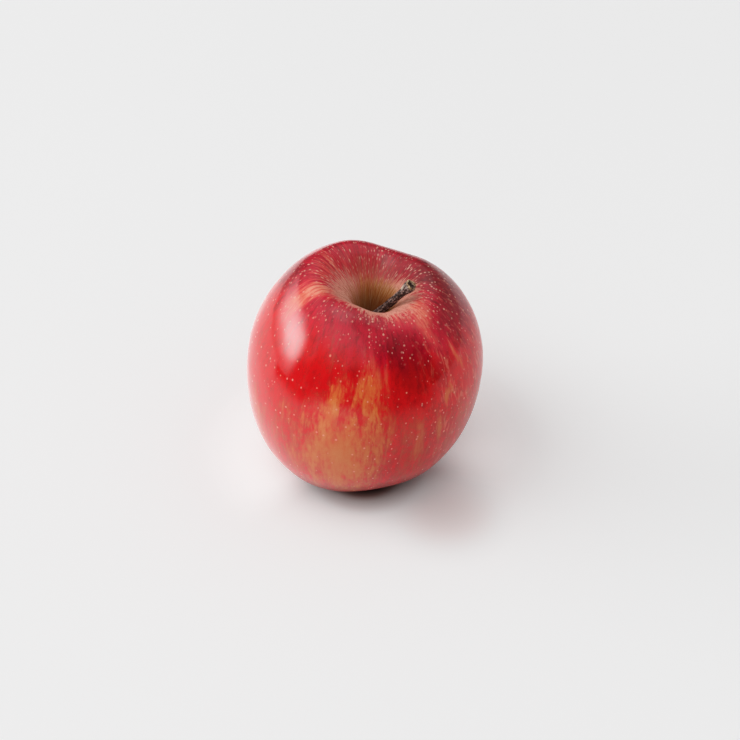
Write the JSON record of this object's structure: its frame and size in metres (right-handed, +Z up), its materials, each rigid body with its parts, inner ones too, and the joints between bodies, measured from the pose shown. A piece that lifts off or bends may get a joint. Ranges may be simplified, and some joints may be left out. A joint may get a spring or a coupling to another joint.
{
  "type": "red apple",
  "caption": "Whole ripe red apple with a leaning woody stem in a deep cavity and dried sepals underneath, standing on its base.",
  "frame": {"origin": "on the surface that the apple stands on, under the middle of the fruit", "axes": "+Z up from the base to the stem, -Y towards the camera of the picture, +X the way the stem leans"},
  "size_m": [0.0779, 0.0761, 0.0747],
  "materials": {
    "skin": "smooth waxy fruit skin with a soft gloss, red over a yellow ground, with pale dots",
    "bark": "dry wrinkled brown bark with pale flecks",
    "sepal": "dull, dry and slightly downy",
    "stamen": "dull and dry"
  },
  "bodies": {
    "root": {"fruit": "skin", "stem": "bark", "sepal_1": "sepal", "sepal_2": "sepal", "sepal_3": "sepal", "sepal_4": "sepal", "sepal_5": "sepal", "stamen_tuft": "stamen"}
  },
  "joints": []
}
